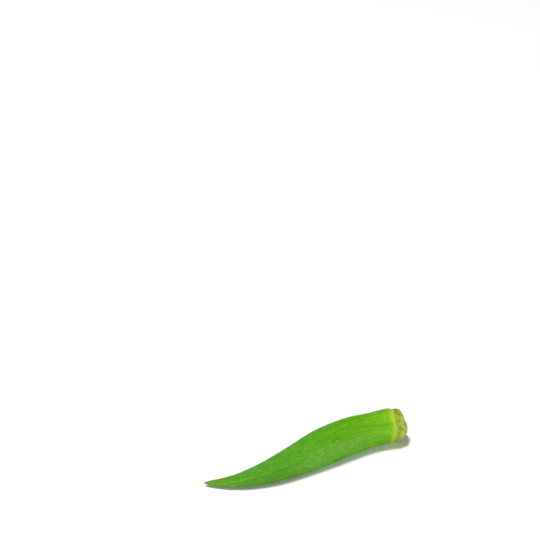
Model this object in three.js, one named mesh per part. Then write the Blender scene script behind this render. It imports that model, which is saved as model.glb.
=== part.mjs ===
// Okra pod, as picked, lying on its side.
//
// The ribbed body, the flared collar, the groove of the flower scar, the cap and the cut
// stub of the stalk grew as one piece, so the pod is one closed solid. Every cross-section
// is a rounded five-cornered ring, set square to a gently S-shaped centreline.
//
// Millimetres, +Z up. +X runs from the pointed tip to the cut stalk. The origin is on the
// surface that the pod lies on, under the middle of the pod.

import * as THREE from 'three';

// Driving dimensions

const POD_LENGTH = 110.4; // along the centreline, from the tip to the cut face
const CAP_LENGTH = 7.2; // of that, from the rim of the collar to the cut face
const BELLY_RADIUS = 9.1; // mean radius where the pod is thickest
const NECK_RADIUS = 8.3; // the slight waist just before the collar
const COLLAR_RADIUS = 8.55;
const STUB_RADIUS = 2.8;
const COLOUR = 0x6aa832;

// The centreline, seen from above and as a height over the surface

const AXIS_HEIGHT = 7.8; // the two lowest ribs carry the pod
const TIP_DROOP = 6.3; // the thin end bends down, nearly to the surface
const MID_SAG = 0.2;
const BELLY_LIFT = 0.3;
const COLLAR_LIFT = 0.75; // one rib turns straight down at the collar
const centreline = new THREE.CubicBezierCurve3(
  new THREE.Vector3(-53.2, 5.1, AXIS_HEIGHT - TIP_DROOP),
  new THREE.Vector3(-20.8, -19.3, AXIS_HEIGHT - MID_SAG),
  new THREE.Vector3(10.7, 13.9, AXIS_HEIGHT + BELLY_LIFT),
  new THREE.Vector3(54.9, -0.2, AXIS_HEIGHT + COLLAR_LIFT),
);
const STUB_LEAN = { side: 1.2, down: 1.9 }; // the cut face sits off the centreline
const LEAN_START = 4; // the first stretch of the cap doesn't lean

// Five ribs, as angles round the centreline from level towards -Y up to +Z. The last two
// point down, so a flat side of the pod faces the surface.

const RIB_ANGLES = [32, 99, 165, 234, 308];
const RIB_TURNS = [[0, -16], [34, 1], [55, 4], [80, -1], [107, -15]]; // distance and degrees
const RIB_STANDS_OUT = 1.125; // rib radius over mean radius, where the ribs are full
const RIB_ROUNDING = 6; // degrees over which the crest of a rib is rounded
const RIB_BEAD = 0.02; // a fine raised cord runs along each crest
const BEAD_WIDTH = 5; // in degrees
const STEPS_PER_HALF_SIDE = 6; // ring points from the crest of a rib to the middle of a side
const CROWDING = 1.5; // above 1 the ring points crowd towards the crests

// Side view: distance from the tip and mean radius there

const RIM = POD_LENGTH - CAP_LENGTH;

const BODY_OUTLINE = [
  [0.0, 0.32],
  [1.6, 0.87],
  [6.9, 1.74],
  [14.3, 2.8],
  [21.7, 3.97],
  [29.0, 5.0],
  [37.5, 6.2],
  [47.0, 7.3],
  [58.0, 8.6],
  [70.0, BELLY_RADIUS],
  [82.0, 8.85],
  [92.0, NECK_RADIUS],
  [99.5, 8.42],
  [RIM - 0.5, COLLAR_RADIUS],
];

const CAP_OUTLINE = [
  [RIM - 0.5, COLLAR_RADIUS],
  [RIM, 8.45],
  [RIM + 0.3, 8.05],
  [RIM + 0.8, 7.9],
  [RIM + 1.7, 8.0],
  [RIM + 3.1, 8.0],
  [RIM + 4.0, 7.65],
  [RIM + 4.8, 6.85],
  [RIM + 5.4, 5.7],
  [RIM + 5.9, 4.5],
  [RIM + 6.4, 3.4],
  [POD_LENGTH, STUB_RADIUS],
];

const BODY_STEPS = 4; // rings in each span of the outline
const CAP_STEPS = 2;
const TIP_POINT = 0.25; // the dried point beyond the first ring
const PITH_RADIUS = 1.8; // the cut face dips slightly at the pith
const PITH_DEPTH = 0.3;

// Distances and radii on a smooth curve through the points of an outline

function outlineRings(outline, stepsPerSpan) {
  const knots = outline.map(([distance, radius]) => new THREE.Vector3(distance, radius, 0));
  const curve = new THREE.CatmullRomCurve3(knots, false, 'centripetal');
  return curve
    .getPoints(stepsPerSpan * (outline.length - 1))
    .map((point) => ({ distance: point.x, radius: point.y }));
}

// Angles of the ring's points, each with its distance to the nearest rib and the half width
// of its side, all in radians

function ringAngles() {
  const angles = [];
  RIB_ANGLES.forEach((rib, index) => {
    const next = RIB_ANGLES[(index + 1) % RIB_ANGLES.length];
    const halfSide = THREE.MathUtils.degToRad(THREE.MathUtils.euclideanModulo(next - rib, 360) / 2);
    const start = THREE.MathUtils.degToRad(rib);
    for (let step = 0; step < 2 * STEPS_PER_HALF_SIDE; step += 1) {
      const fromNearest = Math.min(step, 2 * STEPS_PER_HALF_SIDE - step) / STEPS_PER_HALF_SIDE;
      const fromRib = halfSide * fromNearest ** CROWDING;
      const beforeMiddle = step <= STEPS_PER_HALF_SIDE;
      angles.push({
        angle: start + (beforeMiddle ? fromRib : 2 * halfSide - fromRib),
        fromRib,
        halfSide,
      });
    }
  });
  return angles;
}

// Radius of the full five-cornered section, over the mean radius

function sectionShape({ fromRib, halfSide }) {
  const rounded = Math.hypot(fromRib, THREE.MathUtils.degToRad(RIB_ROUNDING));
  const straightSide = Math.cos(halfSide) / Math.cos(halfSide - rounded);
  const bead = RIB_BEAD * Math.exp(-((fromRib / THREE.MathUtils.degToRad(BEAD_WIDTH)) ** 2));
  return RIB_STANDS_OUT * straightSide + bead;
}

// How much of that shape shows: little at the tip, most at the collar, none on the stub

function ribStrength(distance) {
  const { lerp, smoothstep } = THREE.MathUtils;
  const body = lerp(0.35, 1.0, smoothstep(distance, 0, 40));
  const collar = 0.12 * smoothstep(distance, RIM - 14, RIM);
  const cap = lerp(1.0, 0.45, smoothstep(distance, RIM, RIM + 2.8));
  const stub = lerp(1.0, 0.15, smoothstep(distance, RIM + 2.8, RIM + 5));
  return (body + collar) * cap * stub;
}

// How far the ribs have turned round the centreline there, in radians

function ribTurn(distance) {
  const next = RIB_TURNS.findIndex(([place]) => place > distance);
  if (next < 0) {
    return THREE.MathUtils.degToRad(RIB_TURNS.at(-1)[1]);
  }
  const [fromPlace, fromTurn] = RIB_TURNS[Math.max(next - 1, 0)];
  const [toPlace, toTurn] = RIB_TURNS[next];
  const share = THREE.MathUtils.smoothstep(distance, fromPlace, toPlace);
  return THREE.MathUtils.degToRad(THREE.MathUtils.lerp(fromTurn, toTurn, share));
}

// One ring of points, square to the centreline. What would sink below the surface is
// pressed flat on it.

function placeOnCentreline(distance, sideways, upwards) {
  const along = THREE.MathUtils.clamp(distance / POD_LENGTH, 0, 1);
  const tangent = centreline.getTangentAt(along);
  const side = tangent.clone().cross(new THREE.Vector3(0, 0, 1)).normalize();
  const up = side.clone().cross(tangent);
  const point = centreline.getPointAt(along);
  point.addScaledVector(tangent, distance - along * POD_LENGTH);
  const lean = THREE.MathUtils.smoothstep(distance, RIM + LEAN_START, POD_LENGTH);
  point.addScaledVector(side, sideways + STUB_LEAN.side * lean);
  point.addScaledVector(up, upwards - STUB_LEAN.down * lean);
  point.z = Math.max(point.z, 0);
  return point;
}

function ring({ distance, radius }, angles) {
  const strength = ribStrength(distance);
  const turn = ribTurn(distance);
  return angles.map((spot) => {
    const reach = radius * (1 + strength * (sectionShape(spot) - 1));
    const angle = spot.angle + turn;
    return placeOnCentreline(distance, reach * Math.cos(angle), reach * Math.sin(angle));
  });
}

// The closed skin: a fan at the tip, bands between the rings, and a dished fan on the cut

function podGeometry() {
  const angles = ringAngles();
  const outline = [
    ...outlineRings(BODY_OUTLINE, BODY_STEPS),
    ...outlineRings(CAP_OUTLINE, CAP_STEPS).slice(1),
    { distance: POD_LENGTH - PITH_DEPTH, radius: PITH_RADIUS },
  ];
  const rings = outline.map((spot) => ring(spot, angles));
  const tip = placeOnCentreline(-TIP_POINT, 0, 0);
  const pith = placeOnCentreline(POD_LENGTH - PITH_DEPTH, 0, 0);
  const points = [tip, ...rings.flat(), pith];

  const count = angles.length;
  const at = (ringIndex, step) => 1 + ringIndex * count + (step % count);
  const last = rings.length - 1;
  const faces = [];
  for (let step = 0; step < count; step += 1) {
    faces.push(0, at(0, step), at(0, step + 1));
    for (let index = 0; index < last; index += 1) {
      faces.push(at(index, step), at(index + 1, step), at(index, step + 1));
      faces.push(at(index, step + 1), at(index + 1, step), at(index + 1, step + 1));
    }
    faces.push(at(last, step + 1), at(last, step), points.length - 1);
  }

  const geometry = new THREE.BufferGeometry().setFromPoints(points);
  geometry.setIndex(faces);
  geometry.computeBoundingBox();
  const middle = geometry.boundingBox.getCenter(new THREE.Vector3());
  geometry.translate(-middle.x, -middle.y, 0);
  geometry.computeVertexNormals();
  return geometry;
}

// The part

function okraPod() {
  const skin = new THREE.MeshStandardMaterial({ color: COLOUR, roughness: 0.5, metalness: 0 });
  const pod = new THREE.Mesh(podGeometry(), skin);
  pod.name = 'okra_pod';
  return pod;
}

const part = new THREE.Group();
part.add(okraPod());

export default part;
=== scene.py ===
"""Okra pod, picked, lying on its side on a pale surface.

The pod is modelled straight along +X, tip at x = 0, as a ring of five ribs pulled out station
by station. It is then smoothed, given its fine relief, bent along its centreline and laid on
the floor where the frame has it. A coat of fine down grows on it. Sizes are millimetres,
turned to metres by MM.
"""

import math

import bmesh
import bpy
import numpy as np
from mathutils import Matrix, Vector, noise


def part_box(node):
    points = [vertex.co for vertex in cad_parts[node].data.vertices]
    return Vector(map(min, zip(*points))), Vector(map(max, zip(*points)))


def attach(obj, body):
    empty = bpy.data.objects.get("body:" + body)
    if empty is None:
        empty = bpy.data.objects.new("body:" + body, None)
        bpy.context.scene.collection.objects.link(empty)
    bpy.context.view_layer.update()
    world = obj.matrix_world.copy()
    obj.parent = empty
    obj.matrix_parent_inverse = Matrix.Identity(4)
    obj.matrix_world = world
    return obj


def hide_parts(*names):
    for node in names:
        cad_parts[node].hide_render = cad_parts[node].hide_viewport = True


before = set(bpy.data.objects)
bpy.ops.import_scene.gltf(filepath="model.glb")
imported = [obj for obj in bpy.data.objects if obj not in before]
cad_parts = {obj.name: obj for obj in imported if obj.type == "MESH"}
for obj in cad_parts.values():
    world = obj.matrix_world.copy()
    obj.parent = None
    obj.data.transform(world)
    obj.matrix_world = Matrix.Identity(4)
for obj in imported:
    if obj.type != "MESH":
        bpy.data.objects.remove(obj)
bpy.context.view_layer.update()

MM = 0.001
NODE = "okra_pod"

# Driving sizes of the pod, in millimetres and degrees

POD_LENGTH = 110.4
CAP_LENGTH = 7.2
RIM = POD_LENGTH - CAP_LENGTH
BELLY_RADIUS = 9.1
NECK_RADIUS = 8.3
COLLAR_RADIUS = 8.55
STUB_RADIUS = 2.8
TIP_POINT = 0.25

AXIS_HEIGHT = 7.8
TIP_DROOP = 6.3          # the thin end bends down, nearly to the floor
MID_SAG = 0.2
BELLY_LIFT = 0.3
COLLAR_LIFT = 0.75
CENTRELINE = [
    (-53.2, 5.1, AXIS_HEIGHT - TIP_DROOP),
    (-20.8, -19.3, AXIS_HEIGHT - MID_SAG),
    (10.7, 13.9, AXIS_HEIGHT + BELLY_LIFT),
    (54.9, -0.2, AXIS_HEIGHT + COLLAR_LIFT),
]
STUB_LEAN = (-1.2, -1.9)  # how far the cut face sits off the centreline, sideways and up
LEAN_START = 4.0         # the first stretch of the cap does not lean

RIB_ANGLES = [32, 99, 165, 234, 308]
RIB_TURNS = [(0, -16), (34, 1), (55, 4), (80, -1), (107, -15)]  # distance and degrees
RIB_STANDS_OUT = 1.125
RIBS_AT_TIP = 0.35       # the share of the ribs' full height
RIBS_FULL_FROM = 40
COLLAR_RIBS = 0.12       # added at the rim
COLLAR_RIBS_FROM = RIM - 14
CAP_RIBS_LOST = 0.55
CAP_RIBS_LOST_AT = RIM + 2.8
STUB_RIBS_LOST = 0.85
STUB_RIBS_LOST_AT = RIM + 5
BEAD_HEIGHT = 0.17       # the fine cord along the crest of a rib
BEAD_WIDTH = 5.0         # in degrees
UPPER_FRONT_SIDE = RIB_ANGLES[:2]  # the side between these two ribs, the upper front one, has no painted sheen or painted shade and little down

SIDE_CUTS = 4            # points along each side of the ring, between two ribs
CREST_WIDTH = 1.5        # the rounded crest of a rib
STATION_GAP = 1.6
SMOOTHING = 2            # times that every face is split in four
CREST_STEPS = 2
RING_TOLERANCE = 1e-6    # metres
BOX_MARGIN = 1e-5        # metres
CUT_RINGS = [(0.9, -0.05), (0.62, -0.2), (0.4, -0.08)]  # scale and step of the dished cut face

BODY_STATIONS = [
    (RIM - 0.5, COLLAR_RADIUS),
    (99.5, 8.42),
    (92.0, NECK_RADIUS),
    (82.0, 8.85),
    (70.0, BELLY_RADIUS),
    (58.0, 8.6),
    (47.0, 7.3),
    (37.5, 6.2),
    (29.0, 5.0),
    (21.7, 3.97),
    (14.3, 2.8),
    (6.9, 1.74),
    (1.6, 0.87),
    (0.0, 0.32),
]
CAP_STATIONS = [
    (RIM, 8.45),
    (RIM + 0.3, 8.05),
    (RIM + 0.8, 7.9),
    (RIM + 1.7, 8.0),
    (RIM + 3.1, 8.0),
    (RIM + 4.0, 7.65),
    (RIM + 4.8, 6.85),
    (RIM + 5.4, 5.7),
    (RIM + 5.9, 4.5),
    (RIM + 6.4, 3.4),
    (POD_LENGTH, STUB_RADIUS),
]


# Small helpers


def smoothstep(value, low, high):
    share = np.clip((value - low) / (high - low), 0.0, 1.0)
    return share * share * (3 - 2 * share)


def rib_strength(distance):
    """How much of the five-cornered section shows at a distance from the tip."""
    body = RIBS_AT_TIP + (1 - RIBS_AT_TIP) * smoothstep(distance, 0, RIBS_FULL_FROM)
    collar = COLLAR_RIBS * smoothstep(distance, COLLAR_RIBS_FROM, RIM)
    cap = 1 - CAP_RIBS_LOST * smoothstep(distance, RIM, CAP_RIBS_LOST_AT)
    stub = 1 - STUB_RIBS_LOST * smoothstep(distance, CAP_RIBS_LOST_AT, STUB_RIBS_LOST_AT)
    return (body + collar) * cap * stub


def rib_turn(distance):
    """Degrees that the ribs have turned round the centreline at a distance from the tip."""
    turned = np.full(np.shape(distance), float(RIB_TURNS[0][1]))
    for (low, before), (high, after) in zip(RIB_TURNS, RIB_TURNS[1:]):
        turned = turned + (after - before) * smoothstep(distance, low, high)
    return turned


def stub_lean(distance):
    return smoothstep(distance, RIM + LEAN_START, POD_LENGTH)


def close_stations(stations, gap):
    """Stations about a gap apart, on a smooth curve through the given ones."""
    places, radii = np.array(stations).T
    slopes = np.gradient(radii, places)
    close = [stations[0]]
    for index in range(len(stations) - 1):
        span = places[index + 1] - places[index]
        steps = max(1, round(abs(span) / gap))
        for share in np.arange(1, steps + 1) / steps:
            arrived = share * share * (3 - 2 * share)
            leaving = share * (1 - share) ** 2 * span * slopes[index]
            arriving = share * share * (share - 1) * span * slopes[index + 1]
            radius = (1 - arrived) * radii[index] + arrived * radii[index + 1] + leaving + arriving
            close.append((float(places[index] + share * span), float(radius)))
    return close


def select_none():
    bpy.ops.object.select_all(action="DESELECT")


def make_active(obj):
    select_none()
    obj.select_set(True)
    bpy.context.view_layer.objects.active = obj


def read_points(obj):
    points = np.empty(len(obj.data.vertices) * 3)
    obj.data.vertices.foreach_get("co", points)
    return points.reshape(-1, 3)


def write_points(obj, points):
    obj.data.vertices.foreach_set("co", np.ascontiguousarray(points).ravel())
    obj.data.update()


def point_normals(obj):
    normals = np.empty(len(obj.data.vertices) * 3)
    obj.data.vertex_normals.foreach_get("vector", normals)
    return normals.reshape(-1, 3)


def add_vector_map(obj, name, values):
    layer = obj.data.attributes.new(name, "FLOAT_VECTOR", "POINT")
    layer.data.foreach_set("vector", np.ascontiguousarray(values, dtype=np.float32).ravel())


def grain(points, size, stretch=1.0, shift=0.0):
    """Smooth unevenness from -1 to 1, in patches of a size in millimetres, stretched along."""
    scale = np.array([1 / stretch, 1, 1]) / (size * MM)
    return np.array([noise.noise(Vector(spot)) for spot in points * scale + shift])


# The straight pod


def rib_ring():
    """A five-cornered ring at the collar, with its corners at the ribs' angles."""
    select_none()
    bpy.ops.mesh.primitive_circle_add(
        vertices=len(RIB_ANGLES),
        radius=COLLAR_RADIUS * MM,
        fill_type="NOTHING",
        rotation=(0, math.pi / 2, 0),
    )
    pod = bpy.context.active_object
    pod.name = "okra_pod_skin"
    bpy.ops.object.transform_apply(location=True, rotation=True, scale=True)
    x = BODY_STATIONS[0][0] * MM
    turn = float(rib_turn(BODY_STATIONS[0][0]))
    reach = COLLAR_RADIUS * RIB_STANDS_OUT * MM
    for vertex, angle in zip(pod.data.vertices, RIB_ANGLES):
        around = math.radians(angle + turn)
        vertex.co = (x, -reach * math.cos(around), reach * math.sin(around))
    return pod


def shape_corners(pod):
    """Splits the ring's sides and rounds its corners, so that each rib has a narrow crest."""
    make_active(pod)
    bpy.ops.object.mode_set(mode="EDIT")
    bpy.ops.mesh.select_mode(type="EDGE")
    bpy.ops.mesh.select_all(action="SELECT")
    bpy.ops.mesh.subdivide(number_cuts=SIDE_CUTS)
    bpy.ops.mesh.select_mode(type="VERT")
    bpy.ops.mesh.select_all(action="DESELECT")
    bpy.ops.object.mode_set(mode="OBJECT")
    for vertex in pod.data.vertices[:len(RIB_ANGLES)]:
        vertex.select = True
    bpy.ops.object.mode_set(mode="EDIT")
    bpy.ops.mesh.bevel(affect="VERTICES", offset=CREST_WIDTH * MM / 2, segments=CREST_STEPS)
    bpy.ops.mesh.select_mode(type="EDGE")
    bpy.ops.mesh.select_all(action="SELECT")


def pull_ring(before, after):
    """Extrudes the selected ring from one station to the next: moved along the pod, made
    wider or narrower, rounder, turned with the ribs and shifted with the leaning stub."""
    (place_a, radius_a), (place_b, radius_b) = before, after
    bpy.ops.mesh.extrude_region_move(
        TRANSFORM_OT_translate={"value": ((place_b - place_a) * MM, 0, 0)}
    )
    lean = stub_lean(place_a)
    middle = (place_b * MM, STUB_LEAN[0] * lean * MM, STUB_LEAN[1] * lean * MM)
    scale = radius_b / radius_a
    bpy.ops.transform.resize(value=(1, scale, scale), center_override=middle)
    rounder = 1 - rib_strength(place_b) / rib_strength(place_a)
    bpy.ops.transform.tosphere(value=float(rounder), center_override=middle)
    turn = rib_turn(place_b) - rib_turn(place_a)
    bpy.ops.transform.rotate(
        value=math.radians(turn), orient_axis="X", center_override=middle
    )
    shift = stub_lean(place_b) - lean
    bpy.ops.transform.translate(value=(0, STUB_LEAN[0] * shift * MM, STUB_LEAN[1] * shift * MM))


def select_ring(pod, place):
    """Selects the ring that stands at a distance from the tip."""
    bpy.ops.mesh.select_all(action="DESELECT")
    cage = bmesh.from_edit_mesh(pod.data)
    for edge in cage.edges:
        edge.select_set(all(abs(v.co.x - place * MM) < RING_TOLERANCE for v in edge.verts))
    cage.select_flush_mode()
    bmesh.update_edit_mesh(pod.data)


def pull_body():
    stations = close_stations(BODY_STATIONS, STATION_GAP)
    for before, after in zip(stations, stations[1:]):
        pull_ring(before, after)
    bpy.ops.mesh.extrude_region_move(TRANSFORM_OT_translate={"value": (-TIP_POINT * MM, 0, 0)})
    bpy.ops.mesh.merge(type="CENTER")


def pull_cap(pod):
    select_ring(pod, BODY_STATIONS[0][0])
    stations = [BODY_STATIONS[0], *CAP_STATIONS]
    for before, after in zip(stations, stations[1:]):
        pull_ring(before, after)
    middle = (POD_LENGTH * MM, STUB_LEAN[0] * MM, STUB_LEAN[1] * MM)
    for scale, dip in CUT_RINGS:
        bpy.ops.mesh.extrude_region_move(TRANSFORM_OT_translate={"value": (dip * MM, 0, 0)})
        bpy.ops.transform.resize(value=(1, scale, scale), center_override=middle)
    bpy.ops.mesh.edge_face_add()
    bpy.ops.mesh.poke()
    bpy.ops.object.mode_set(mode="OBJECT")


def smooth_pod(pod):
    make_active(pod)
    bpy.ops.object.mode_set(mode="EDIT")
    bpy.ops.mesh.select_all(action="SELECT")
    bpy.ops.mesh.normals_make_consistent(inside=False)
    bpy.ops.object.mode_set(mode="OBJECT")
    smoothing = pod.modifiers.new("smoothing", "SUBSURF")
    smoothing.levels = SMOOTHING
    smoothing.render_levels = SMOOTHING
    bpy.ops.object.modifier_apply(modifier=smoothing.name)
    bpy.ops.object.shade_smooth()


def pod_places(points):
    """For each point of the straight pod: millimetres from the tip, closeness to a rib's
    crest from 0 to 1, and degrees round the pod and away from the nearest crest."""
    along = points[:, 0] / MM
    lean = stub_lean(along)
    y = points[:, 1] - STUB_LEAN[0] * lean * MM
    z = points[:, 2] - STUB_LEAN[1] * lean * MM
    around = np.mod(np.degrees(np.arctan2(z, -y)) - rib_turn(along), 360)
    closeness = np.zeros(len(points))
    away = np.full(len(points), 360.0)
    ribs = RIB_ANGLES + [RIB_ANGLES[0] + 360]
    for low, high in zip(ribs, ribs[1:]):
        half = (high - low) / 2
        for rib in (low, high):
            gap = np.abs(np.mod(around - rib + 180, 360) - 180)
            closeness = np.maximum(closeness, 1 - np.minimum(gap / half, 1))
            away = np.minimum(away, gap)
    return along, closeness, around, away


# Relief of the skin, with heights, sizes and places from the tip in millimetres

WAVE_HEIGHT = 0.09
WAVE_SIZE = 7.0
KNOB_HEIGHT = 0.07
KNOB_SIZE = 1.1
SEED_SWELLING = 0.05
SEED_SPACING = 5.4
SEED_ROW_STEP = 36       # degrees from one row of seeds to the next
SEED_STAGGER = 0.37      # each row starts this share of the spacing later
SEED_ROW_PLACE = 0.42    # closeness to a crest at which a row of seeds lies
SEED_ROW_WIDTH = 0.2
LIP_HEIGHT = 0.16
LIP_WIDTH = 0.7
LIP_SIZE = 1.5
FLUTES = 31
FLUTE_DEPTH = 0.07
WART_HEIGHT = 0.16
WART_SIZE = 1.0
CUT_WART_SIZE = 0.8
RELIEF_SINKS = 0.07      # the relief lies mostly under the smooth form
BODY_RELIEF_STARTS = (2, 16)
BODY_RELIEF_ENDS = (RIM - 7, RIM - 0.5)
CAP_RELIEF_STARTS = (RIM + 0.7, RIM + 1.6)
CAP_RELIEF_ENDS = (RIM + 5.6, RIM + 6.6)
CUT_STARTS = (RIM + 6.0, RIM + 6.8)


def raise_relief(pod):
    """Raises the cord and its knobs along each crest, faint swellings over the rows of seeds,
    the uneven lip of the collar, and the flutes and warts of the cap."""
    points = read_points(pod)
    along, closeness, around, away = pod_places(points)
    body = smoothstep(along, *BODY_RELIEF_STARTS) * (1 - smoothstep(along, *BODY_RELIEF_ENDS))
    cap = smoothstep(along, *CAP_RELIEF_STARTS) * (1 - smoothstep(along, *CAP_RELIEF_ENDS))
    cut_edge = smoothstep(along, *CUT_STARTS)
    crest = np.exp(-((away / BEAD_WIDTH) ** 2))
    lip = np.exp(-(((along - RIM) / LIP_WIDTH) ** 2))
    row = np.floor(around / SEED_ROW_STEP)
    seeds = np.cos(2 * np.pi * (along / SEED_SPACING + row * SEED_STAGGER))
    over_seeds = np.exp(-(((closeness - SEED_ROW_PLACE) / SEED_ROW_WIDTH) ** 2))
    height = body * (
        BEAD_HEIGHT * crest
        + WAVE_HEIGHT * grain(points, WAVE_SIZE, stretch=2.0)
        + KNOB_HEIGHT * crest * grain(points, KNOB_SIZE, shift=3.0)
        + SEED_SWELLING * seeds * over_seeds
    )
    height += LIP_HEIGHT * lip * grain(points, LIP_SIZE, shift=11.0)
    height += cap * (
        FLUTE_DEPTH * np.cos(np.radians(around) * FLUTES)
        + WART_HEIGHT * grain(points, WART_SIZE, shift=5.0)
    )
    height += WART_HEIGHT / 2 * cut_edge * grain(points, CUT_WART_SIZE, shift=8.0)
    height -= RELIEF_SINKS * np.maximum(body, cap)
    write_points(pod, points + point_normals(pod) * height[:, None] * MM)


# Bent and laid down

BEND_STEPS = 64


def bend_pod(pod):
    """Bends the straight pod along the centreline."""
    select_none()
    bpy.ops.curve.primitive_bezier_curve_add()
    route = bpy.context.active_object
    start, leave, arrive, end = (Vector(point) * MM for point in CENTRELINE)
    first, last = route.data.splines[0].bezier_points
    first.handle_left_type = first.handle_right_type = "FREE"
    last.handle_left_type = last.handle_right_type = "FREE"
    first.co, first.handle_right, first.handle_left = start, leave, start * 2 - leave
    last.co, last.handle_left, last.handle_right = end, arrive, end * 2 - arrive
    route.data.resolution_u = BEND_STEPS
    route.data.twist_mode = "Z_UP"
    route.data.use_stretch = True
    route.data.use_deform_bounds = True
    make_active(pod)
    bend = pod.modifiers.new("bend", "CURVE")
    bend.object = route
    bend.deform_axis = "POS_X"
    bpy.ops.object.modifier_apply(modifier=bend.name)
    bpy.data.objects.remove(route, do_unlink=True)


def lay_down(pod):
    """Sets the pod where the frame has it, inside the frame's box and pressed on the floor."""
    low, high = (np.array(corner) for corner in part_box(NODE))
    points = read_points(pod)
    middle = (points.min(axis=0) + points.max(axis=0)) / 2
    points[:, :2] += ((low + high) / 2 - middle)[:2]
    write_points(pod, np.clip(points, low + BOX_MARGIN, high - BOX_MARGIN))


def make_pod():
    pod = rib_ring()
    shape_corners(pod)
    pull_body()
    pull_cap(pod)
    smooth_pod(pod)
    straight = read_points(pod)
    along, closeness, around, _ = pod_places(straight)
    add_vector_map(pod, "straight", straight)
    add_vector_map(pod, "places", np.stack([along, closeness, around], axis=1))
    raise_relief(pod)
    bend_pod(pod)
    lay_down(pod)
    return pod


# Fine down: short pale hairs that lean towards the tip, thickest on the ribs and the collar

HAIRS = 15000
HAIR_LENGTH = (0.22, 0.6)
HAIR_RADIUS = 0.024
HAIR_ROOT = 0.05         # how deep a hair's root is sunk in the skin
HAIR_SIDES = 3
HAIR_LEAN = 0.7
HAIR_SCATTER = 0.35
HAIR_SEED = 12
DOWN_ON_SIDES = 0.55     # how closely the hairs stand on the sides
DOWN_ON_CRESTS = 1.6     # added on the crests
DOWN_AT_COLLAR = 1.0     # added at the collar
DOWN_ON_UPPER_FRONT_SIDE = 0.4  # the share that the upper front side has
DOWN_ON_THIN_HALF = 0.5  # the share that the thin half has
CREST_CLOSENESS = (0.8, 0.95)
UPPER_FRONT_SIDE_MARGINS = (6, 12)  # degrees by which its edges lie past its ribs
COLLAR_LENGTH = 6
THIN_HALF_FADE = (40, 80)
CUT_FADE = (POD_LENGTH - 1.2, POD_LENGTH - 0.5)
NO_DOWN_BELOW = 0.3      # over the floor
SORTING_WAY = np.array([1.0, 0.37, 0.61])  # hardly any two faces are level along it


def hair_shape():
    """One hair as a cone along +Z with few sides, one unit long and one unit in radius."""
    select_none()
    bpy.ops.mesh.primitive_cone_add(
        vertices=HAIR_SIDES, radius1=1, radius2=0, depth=1, location=(0, 0, 0.5)
    )
    cone = bpy.context.active_object
    bpy.ops.object.transform_apply(location=True, rotation=True, scale=True)
    points = read_points(cone)
    faces = [tuple(face.vertices) for face in cone.data.polygons]
    bpy.data.objects.remove(cone, do_unlink=True)
    return points, faces


def in_order(corners, heights):
    """The four-cornered faces in the order of their corners' heights, each with its lowest
    corner first, so that the hairs stand in the same places however the faces are numbered."""
    lowest = heights[corners].argmin(axis=1)
    corners = np.take_along_axis(corners, (lowest[:, None] + np.arange(4)) % 4, axis=1)
    return corners[heights[corners].mean(axis=1).argsort()]


def hair_roots(pod, draw):
    """Seeded spots on the skin with their normals, more of them where the down is thick."""
    mesh = pod.data
    corners = np.empty(len(mesh.loops), dtype=np.int32)
    mesh.loops.foreach_get("vertex_index", corners)
    points = read_points(pod)
    corners = in_order(corners.reshape(-1, 4), points @ SORTING_WAY)
    places = np.empty(len(mesh.vertices) * 3, dtype=np.float32)
    mesh.attributes["places"].data.foreach_get("vector", places)
    places = places.reshape(-1, 3)[corners].mean(axis=1)
    a, b, c, d = (points[corners[:, side]] for side in range(4))
    cross = np.cross(c - a, d - b)
    area = np.linalg.norm(cross, axis=1) / 2
    along, closeness, around = places.T
    thickness = DOWN_ON_SIDES + DOWN_ON_CRESTS * smoothstep(closeness, *CREST_CLOSENESS)
    thickness += DOWN_AT_COLLAR * smoothstep(along, RIM - COLLAR_LENGTH, RIM)
    low, high = (rib + margin for rib, margin in zip(UPPER_FRONT_SIDE, UPPER_FRONT_SIDE_MARGINS))
    upper_front = (around > low) & (around < high) & (along < RIM - COLLAR_LENGTH)
    thickness *= np.where(upper_front, DOWN_ON_UPPER_FRONT_SIDE, 1.0)
    thick_half = smoothstep(along, *THIN_HALF_FADE)
    thickness *= DOWN_ON_THIN_HALF + (1 - DOWN_ON_THIN_HALF) * thick_half
    thickness *= 1 - smoothstep(along, *CUT_FADE)
    thickness *= (a + b + c + d)[:, 2] / 4 > NO_DOWN_BELOW * MM
    weight = area * thickness
    chosen = draw.choice(len(corners), HAIRS, p=weight / weight.sum())
    u, v = draw.random((2, HAIRS, 1))
    low_edge = a[chosen] + (b - a)[chosen] * u
    high_edge = d[chosen] + (c - d)[chosen] * u
    spots = low_edge + (high_edge - low_edge) * v
    normals = cross[chosen] / np.linalg.norm(cross[chosen], axis=1, keepdims=True)
    return spots, normals


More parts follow.
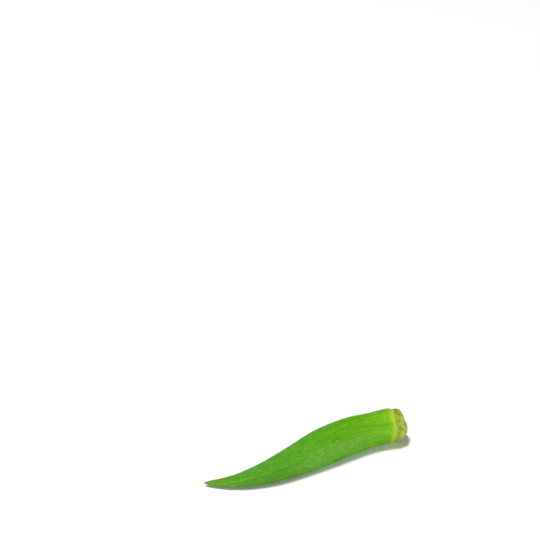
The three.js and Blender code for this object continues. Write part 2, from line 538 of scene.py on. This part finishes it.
def make_down(pod):
    draw = np.random.default_rng(HAIR_SEED)
    shape, shape_faces = hair_shape()
    spots, normals = hair_roots(pod, draw)
    towards_tip = np.array([-1.0, 0, 0])
    way = normals + HAIR_LEAN * towards_tip + HAIR_SCATTER * draw.normal(size=(HAIRS, 3))
    way /= np.linalg.norm(way, axis=1, keepdims=True)
    side = np.cross(way, draw.normal(size=(HAIRS, 3)))
    side /= np.linalg.norm(side, axis=1, keepdims=True)
    third = np.cross(way, side)
    length = draw.uniform(*HAIR_LENGTH, size=(HAIRS, 1)) * MM
    roots = spots - normals * HAIR_ROOT * MM
    points = (
        roots[:, None]
        + shape[None, :, 0:1] * HAIR_RADIUS * MM * side[:, None]
        + shape[None, :, 1:2] * HAIR_RADIUS * MM * third[:, None]
        + shape[None, :, 2:3] * length[:, None] * way[:, None]
    )
    low, high = (np.array(corner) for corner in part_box(NODE))
    points = np.clip(points.reshape(-1, 3), low + BOX_MARGIN, high - BOX_MARGIN)
    starts = np.arange(HAIRS) * len(shape)
    faces = [tuple(start + corner for corner in face) for start in starts for face in shape_faces]
    mesh = bpy.data.meshes.new("okra_pod_down")
    mesh.from_pydata(points.tolist(), [], faces)
    down = bpy.data.objects.new("okra_pod_down", mesh)
    bpy.context.scene.collection.objects.link(down)
    make_active(down)
    bpy.ops.object.mode_set(mode="EDIT")
    bpy.ops.mesh.select_all(action="SELECT")
    bpy.ops.mesh.normals_make_consistent(inside=False)
    bpy.ops.object.mode_set(mode="OBJECT")
    return down


# Material nodes

SPECK_CORE = 0.4         # the share of a speck's radius in which it is full


def put(tree, kind, inputs=None, **settings):
    """Adds a node, sets its options, and fills or links its inputs."""
    made = tree.nodes.new(kind)
    for name, value in settings.items():
        setattr(made, name, value)
    for name, value in (inputs or {}).items():
        if isinstance(value, bpy.types.NodeSocket):
            tree.links.new(value, made.inputs[name])
        else:
            made.inputs[name].default_value = value
    return made


def maths(tree, operation, *values):
    inputs = dict(enumerate(values))
    return put(tree, "ShaderNodeMath", inputs, operation=operation).outputs[0]


def vector_maths(tree, operation, *values):
    return put(tree, "ShaderNodeVectorMath", dict(enumerate(values)), operation=operation)


def fade(tree, value, low, high, start=0.0, end=1.0):
    """A smooth change from start to end while the value goes from low to high, or down to
    high where high is the smaller one."""
    inputs = {"Value": value, "From Min": low, "From Max": high, "To Min": start, "To Max": end}
    node = put(tree, "ShaderNodeMapRange", inputs, interpolation_type="SMOOTHSTEP")
    return node.outputs["Result"]


def between(tree, value, rise, fall):
    """1 between two edges, each given as the value where it is 0 and the value where it is 1."""
    return maths(tree, "MULTIPLY", fade(tree, value, *rise), fade(tree, value, *fall))


def blend(tree, share, below, above):
    node = put(tree, "ShaderNodeMix", data_type="RGBA")
    for socket, value in ((0, share), (6, below), (7, above)):
        if isinstance(value, bpy.types.NodeSocket):
            tree.links.new(value, node.inputs[socket])
        elif socket == 0:
            node.inputs[0].default_value = value
        else:
            node.inputs[socket].default_value = (*value, 1)
    return node.outputs[2]


def patches(tree, where, size, detail=3.0, rough=0.55, stretch=1.0):
    """Noise from 0 to 1 in patches of a size in millimetres, stretched along the pod."""
    scale = (1 / stretch / MM, 1 / MM, 1 / MM)
    placed = put(tree, "ShaderNodeMapping", {"Vector": where, "Scale": scale}).outputs[0]
    inputs = {"Vector": placed, "Scale": 1 / size, "Detail": detail, "Roughness": rough}
    return put(tree, "ShaderNodeTexNoise", inputs).outputs["Fac"]


def specks(tree, where, spacing, radius, chance):
    """Round specks from 0 to 1: about a spacing apart, in a share of the places only."""
    placed = put(tree, "ShaderNodeMapping", {"Vector": where, "Scale": (1 / MM,) * 3}).outputs[0]
    cells = put(tree, "ShaderNodeTexVoronoi", {"Vector": placed, "Scale": 1 / spacing})
    reach = radius / spacing
    spot = fade(tree, cells.outputs["Distance"], reach, reach * SPECK_CORE)
    red = put(tree, "ShaderNodeSeparateColor", {0: cells.outputs["Color"]}).outputs[0]
    return maths(tree, "MULTIPLY", spot, maths(tree, "LESS_THAN", red, chance))


def colour_along(tree, value, stops):
    """A colour that changes along the pod, with stops in millimetres from the tip."""
    share = maths(tree, "DIVIDE", value, POD_LENGTH)
    node = put(tree, "ShaderNodeValToRGB", {"Fac": share})
    ramp = node.color_ramp
    while len(ramp.elements) < len(stops):
        ramp.elements.new(0.5)
    for element, (place, colour) in zip(ramp.elements, stops):
        element.position = place / POD_LENGTH
        element.color = (*colour, 1)
    return node.outputs["Color"]


# Skin, with linear colours, and places in millimetres from the tip

BODY_GREENS = [
    (0.0, (0.11, 0.09, 0.02)),
    (0.7, (0.12, 0.19, 0.015)),
    (3.0, (0.105, 0.250, 0.006)),
    (12.0, (0.070, 0.235, 0.003)),
    (32.0, (0.046, 0.236, 0.001)),
    (58.0, (0.070, 0.288, 0.002)),
    (82.0, (0.102, 0.315, 0.003)),
    (96.0, (0.150, 0.385, 0.004)),
    (100.0, (0.185, 0.400, 0.004)),
    (RIM - 2.3, (0.250, 0.425, 0.006)),
    (RIM - 1.1, (0.345, 0.455, 0.016)),
]
CREST_GREEN = (0.125, 0.345, 0.012)
STREAK_GREEN = (0.046, 0.205, 0.002)
PALE_GREEN = (0.180, 0.415, 0.020)
# painted shade: a deeper green on the thin half's sides other than the upper front one, where the
# pod turns down, away from the light
PAINTED_SHADE_GREEN = (0.038, 0.155, 0.002)
# painted sheen: a pale bluish haze on the sides other than the upper front one, standing in for
# the pale floor's reflection
PAINTED_SHEEN_GREEN = (0.140, 0.305, 0.050)
COLLAR_YELLOW = (0.33, 0.470, 0.03)
SCAR_ORANGE = (0.33, 0.27, 0.02)
SCAR_BROWN = (0.16, 0.11, 0.015)
CAP_OLIVE = (0.235, 0.310, 0.010)
CAP_PIT = (0.115, 0.155, 0.006)
CAP_PALE = (0.48, 0.56, 0.13)
CUT_PALE = (0.50, 0.52, 0.24)
CUT_RING = (0.24, 0.30, 0.07)
PITH = (0.62, 0.60, 0.40)
BLEMISH = (0.12, 0.085, 0.02)

# Edges of the coloured zones: the place where the zone is absent, then where it is full

CREST_EDGE = (0.86, 0.97)  # in closeness to a crest
UPPER_FRONT_SIDE_EDGES = ((UPPER_FRONT_SIDE[0] - 9, UPPER_FRONT_SIDE[0] - 2), (UPPER_FRONT_SIDE[1] + 14, UPPER_FRONT_SIDE[1] + 6))
# the thin half, whose sides other than the upper front one get the painted shade
THIN_HALF_EDGES = ((12, 22), (56, 40))
PAINTED_SHEEN_EDGES = ((32, 56), (97, 64))
PAINTED_SHEEN_AT_ENDS = (0.3, 0.15)  # the share of the painted sheen that is left towards the tip and the collar
YELLOW_EDGE = (RIM - 4.0, RIM - 0.8)
YELLOW_SHARE = 0.5
SCAR_EDGES = ((RIM - 0.35, RIM + 0.05), (RIM + 0.9, RIM + 0.4))
SCAR_SHARE = 0.3
CAP_EDGE = (RIM + 0.1, RIM + 0.6)
DRY_EDGE = (RIM + 1.5, RIM + 4.4)
CUT_EDGE = (RIM + 6.1, RIM + 6.9)
CUT_FACE_EDGE = (POD_LENGTH - 0.7, POD_LENGTH - 0.4)
CUT_RING_EDGES = ((2.4, 2.1), (1.1, 1.4))  # in millimetres from the middle of the cut
PITH_EDGE = (1.2, 0.9)
RAGGEDNESS = 1.4         # how far the zones' edges wander, in millimetres
RAGGED_SIZE = 1.6


def from_cut_middle(tree, straight):
    """Millimetres from the line that runs along the pod through the middle of the cut."""
    middle = (0, STUB_LEAN[0] * MM, STUB_LEAN[1] * MM)
    offset = vector_maths(tree, "SUBTRACT", straight, middle)
    across = vector_maths(tree, "MULTIPLY", offset.outputs[0], (0, 1 / MM, 1 / MM))
    return vector_maths(tree, "LENGTH", across.outputs[0]).outputs["Value"]


def painted_sheen_and_shade(tree, along, around):
    """Shares of the painted sheen, a pale bluish haze that stands in for the pale floor's
    reflection, and of the painted shade, a deeper green on the thin half. Both leave the upper
    front side out.
    """
    upper_front = between(tree, around, *UPPER_FRONT_SIDE_EDGES)
    other_sides = maths(tree, "SUBTRACT", 1.0, upper_front)
    sheen_starts, sheen_ends = PAINTED_SHEEN_EDGES
    at_tip, at_collar = PAINTED_SHEEN_AT_ENDS
    full = maths(
        tree,
        "MULTIPLY",
        fade(tree, along, *sheen_starts, start=at_tip),
        fade(tree, along, *sheen_ends, start=at_collar),
    )
    painted_sheen = maths(tree, "MULTIPLY", other_sides, full)
    painted_shade = maths(tree, "MULTIPLY", other_sides, between(tree, along, *THIN_HALF_EDGES))
    return painted_sheen, painted_shade


def body_colour(tree, straight, along, crest, painted_sheen, painted_shade):
    """Green with darker streaks along the pod, a fine mottle, painted shade on the thin half, a
    painted sheen that stands in for the floor's reflection, and small pale dots.
    """
    colour = colour_along(tree, along, BODY_GREENS)
    broad = patches(tree, straight, 6.0, detail=2.0, stretch=2.5)
    colour = blend(tree, fade(tree, broad, 0.45, 0.65, end=0.3), colour, STREAK_GREEN)
    streaks = patches(tree, straight, 1.1, stretch=12.0)
    colour = blend(tree, fade(tree, streaks, 0.47, 0.62, end=0.5), colour, STREAK_GREEN)
    mottle = patches(tree, straight, 1.4, detail=4.0, rough=0.7, stretch=2.0)
    colour = blend(tree, fade(tree, mottle, 0.5, 0.7, end=0.5), colour, PALE_GREEN)
    # painted shade on the thin half's sides other than the upper front one
    colour = blend(tree, maths(tree, "MULTIPLY", painted_shade, 0.5), colour, PAINTED_SHADE_GREEN)
    # painted sheen: a pale bluish haze in patches on the lower sides, standing in for the floor's
    # reflection
    patchy_sheen = maths(tree, "MULTIPLY", painted_sheen, fade(tree, mottle, 0.38, 0.6, start=0.05, end=0.65))
    colour = blend(tree, patchy_sheen, colour, PAINTED_SHEEN_GREEN)
    on_crest = maths(tree, "MULTIPLY", crest, fade(tree, mottle, 0.35, 0.6, start=0.1, end=0.5))
    colour = blend(tree, on_crest, colour, CREST_GREEN)
    pits = patches(tree, straight, 1.1, detail=5.0, rough=0.75)
    colour = blend(tree, fade(tree, pits, 0.5, 0.36, end=0.55), colour, STREAK_GREEN)
    dots = specks(tree, straight, spacing=1.1, radius=0.3, chance=0.4)
    colour = blend(tree, maths(tree, "MULTIPLY", dots, 0.4), colour, PALE_GREEN)
    return blend(tree, fade(tree, along, *YELLOW_EDGE, end=YELLOW_SHARE), colour, COLLAR_YELLOW)


def cap_colour(tree, straight, along):
    """Olive with darker pits, dry and pale on the shoulder, and a ringed cut face."""
    pits = patches(tree, straight, 1.5, rough=0.6)
    colour = blend(tree, fade(tree, pits, 0.47, 0.62), CAP_OLIVE, CAP_PIT)
    dry = patches(tree, straight, 1.1, rough=0.65)
    on_shoulder = fade(tree, along, *DRY_EDGE, start=0.15)
    share = maths(tree, "MULTIPLY", fade(tree, dry, 0.38, 0.62), on_shoulder)
    colour = blend(tree, share, colour, CAP_PALE)
    colour = blend(tree, fade(tree, along, *CUT_EDGE, end=0.8), colour, CUT_PALE)
    radius = from_cut_middle(tree, straight)
    on_cut = fade(tree, along, *CUT_FACE_EDGE)
    ring = maths(tree, "MULTIPLY", between(tree, radius, *CUT_RING_EDGES), on_cut)
    colour = blend(tree, ring, colour, CUT_RING)
    pith = maths(tree, "MULTIPLY", fade(tree, radius, *PITH_EDGE), on_cut)
    return blend(tree, pith, colour, PITH)


def scar_colour(tree, straight, along, colour):
    """A thin ragged line round the pod where the flower fell, orange with brown dots."""
    scar = between(tree, along, *SCAR_EDGES)
    colour = blend(tree, maths(tree, "MULTIPLY", scar, SCAR_SHARE), colour, SCAR_ORANGE)
    dots = patches(tree, straight, 0.7, detail=2.0)
    dark = maths(tree, "MULTIPLY", scar, fade(tree, dots, 0.5, 0.65, end=0.6))
    return blend(tree, dark, colour, SCAR_BROWN)


def skin_relief(tree, shader, straight, along):
    """Fine fibres along the pod and pores, coarser on the cap, and a shine broken by them."""
    fibres = patches(tree, straight, 0.32, detail=4.0, rough=0.6, stretch=5.0)
    pores = patches(tree, straight, 0.5, rough=0.6)
    coarser = fade(tree, along, RIM, RIM + 1.0, start=1.0, end=2.5)
    height = maths(tree, "MULTIPLY", maths(tree, "ADD", fibres, pores), coarser)
    bump = put(tree, "ShaderNodeBump", {"Height": height, "Strength": 0.8, "Distance": 0.12 * MM})
    tree.links.new(bump.outputs[0], shader.inputs["Normal"])
    tree.links.new(fade(tree, pores, 0.3, 0.7, start=0.45, end=0.62), shader.inputs["Roughness"])


def skin_material():
    """Green body, lime collar with a yellow band, brown scar, olive cap and pale cut."""
    material = bpy.data.materials.new("okra_skin")
    material.use_nodes = True
    tree = material.node_tree
    shader = tree.nodes["Principled BSDF"]
    straight = put(tree, "ShaderNodeAttribute", attribute_name="straight").outputs["Vector"]
    places = put(tree, "ShaderNodeAttribute", attribute_name="places").outputs["Vector"]
    split = put(tree, "ShaderNodeSeparateXYZ", {0: places})
    along, closeness, around = split.outputs[0], split.outputs[1], split.outputs[2]
    wander = maths(tree, "SUBTRACT", patches(tree, straight, RAGGED_SIZE), 0.5)
    ragged = maths(tree, "ADD", along, maths(tree, "MULTIPLY", wander, RAGGEDNESS))

    crest = fade(tree, closeness, *CREST_EDGE)
    painted_sheen, painted_shade = painted_sheen_and_shade(tree, along, around)
    colour = body_colour(tree, straight, ragged, crest, painted_sheen, painted_shade)
    cap = cap_colour(tree, straight, along)
    colour = blend(tree, fade(tree, along, *CAP_EDGE), colour, cap)
    colour = scar_colour(tree, straight, ragged, colour)
    marks = specks(tree, straight, spacing=4.2, radius=0.28, chance=0.3)
    colour = blend(tree, maths(tree, "MULTIPLY", marks, 0.6), colour, BLEMISH)
    tree.links.new(colour, shader.inputs["Base Color"])

    skin_relief(tree, shader, straight, along)
    shader.inputs["Specular IOR Level"].default_value = 0.12
    shader.inputs["Subsurface Weight"].default_value = 0.12
    shader.inputs["Subsurface Radius"].default_value = (0.8, 1.4, 0.3)
    shader.inputs["Subsurface Scale"].default_value = MM
    return material


# Down, a little paler in some patches than in others

DOWN_GREEN = (0.30, 0.50, 0.08)
DOWN_PALE = (0.52, 0.66, 0.26)


def down_material():
    material = bpy.data.materials.new("okra_down")
    material.use_nodes = True
    tree = material.node_tree
    shader = tree.nodes["Principled BSDF"]
    where = put(tree, "ShaderNodeTexCoord").outputs["Object"]
    tone = patches(tree, where, 2.5, detail=2.0)
    colour = blend(tree, fade(tree, tone, 0.35, 0.65), DOWN_GREEN, DOWN_PALE)
    tree.links.new(colour, shader.inputs["Base Color"])
    shader.inputs["Roughness"].default_value = 0.5
    shader.inputs["Specular IOR Level"].default_value = 0.3
    return material


# The two pieces

pod = make_pod()
pod.data.materials.append(skin_material())
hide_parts(NODE)
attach(pod, "root")

down = make_down(pod)
down.data.materials.append(down_material())
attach(down, "root")


# Floor, camera and lights, in metres where nothing else is said

FLOOR_SIZE = 4
FLOOR_GREY = 0.95
CAMERA_PLACE = (-234.05, -461.21, 368.77)  # in millimetres
CAMERA_HEADING = (0.4193, 0.9079)
CAMERA_PITCH = 26.96     # degrees down from level
CAMERA_LENS = 85
SENSOR_WIDTH = 36
NEAREST = 0.01
KEY_PLACE = (-0.96, 0.56, 5.20)
KEY_SIZE = 1.4
KEY_POWER = 288
FILL_PLACE = (-0.25, -1.2, 0.18)
FILL_SIZE = 0.6
FILL_POWER = 14.5
SKY = 0.10


def make_floor():
    select_none()
    bpy.ops.mesh.primitive_plane_add(size=FLOOR_SIZE)
    floor = bpy.context.active_object
    floor.name = "floor"
    material = bpy.data.materials.new("pale_floor")
    material.use_nodes = True
    shader = material.node_tree.nodes["Principled BSDF"]
    shader.inputs["Base Color"].default_value = (FLOOR_GREY, FLOOR_GREY, FLOOR_GREY, 1)
    shader.inputs["Roughness"].default_value = 0.9
    floor.data.materials.append(material)


def make_camera():
    bpy.ops.object.camera_add(location=[c * MM for c in CAMERA_PLACE])
    camera = bpy.context.active_object
    camera.data.lens = CAMERA_LENS
    camera.data.sensor_width = SENSOR_WIDTH
    camera.data.clip_start = NEAREST
    heading = math.atan2(CAMERA_HEADING[0], CAMERA_HEADING[1])
    camera.rotation_euler = (math.radians(90 - CAMERA_PITCH), 0, -heading)
    bpy.context.scene.camera = camera


def soft_light(name, place, size, power):
    bpy.ops.object.light_add(type="AREA", location=place)
    light = bpy.context.active_object
    light.name = name
    light.data.shape = "DISK"
    light.data.size = size
    light.data.energy = power
    light.rotation_euler = (-Vector(place)).to_track_quat("-Z", "Y").to_euler()


def make_lights():
    world = bpy.data.worlds.new("studio")
    world.use_nodes = True
    background = world.node_tree.nodes["Background"]
    background.inputs["Color"].default_value = (1, 1, 1, 1)
    background.inputs["Strength"].default_value = SKY
    bpy.context.scene.world = world
    soft_light("key", KEY_PLACE, KEY_SIZE, KEY_POWER)
    soft_light("fill", FILL_PLACE, FILL_SIZE, FILL_POWER)


make_floor()
make_camera()
make_lights()
bpy.context.scene.view_settings.view_transform = "Standard"
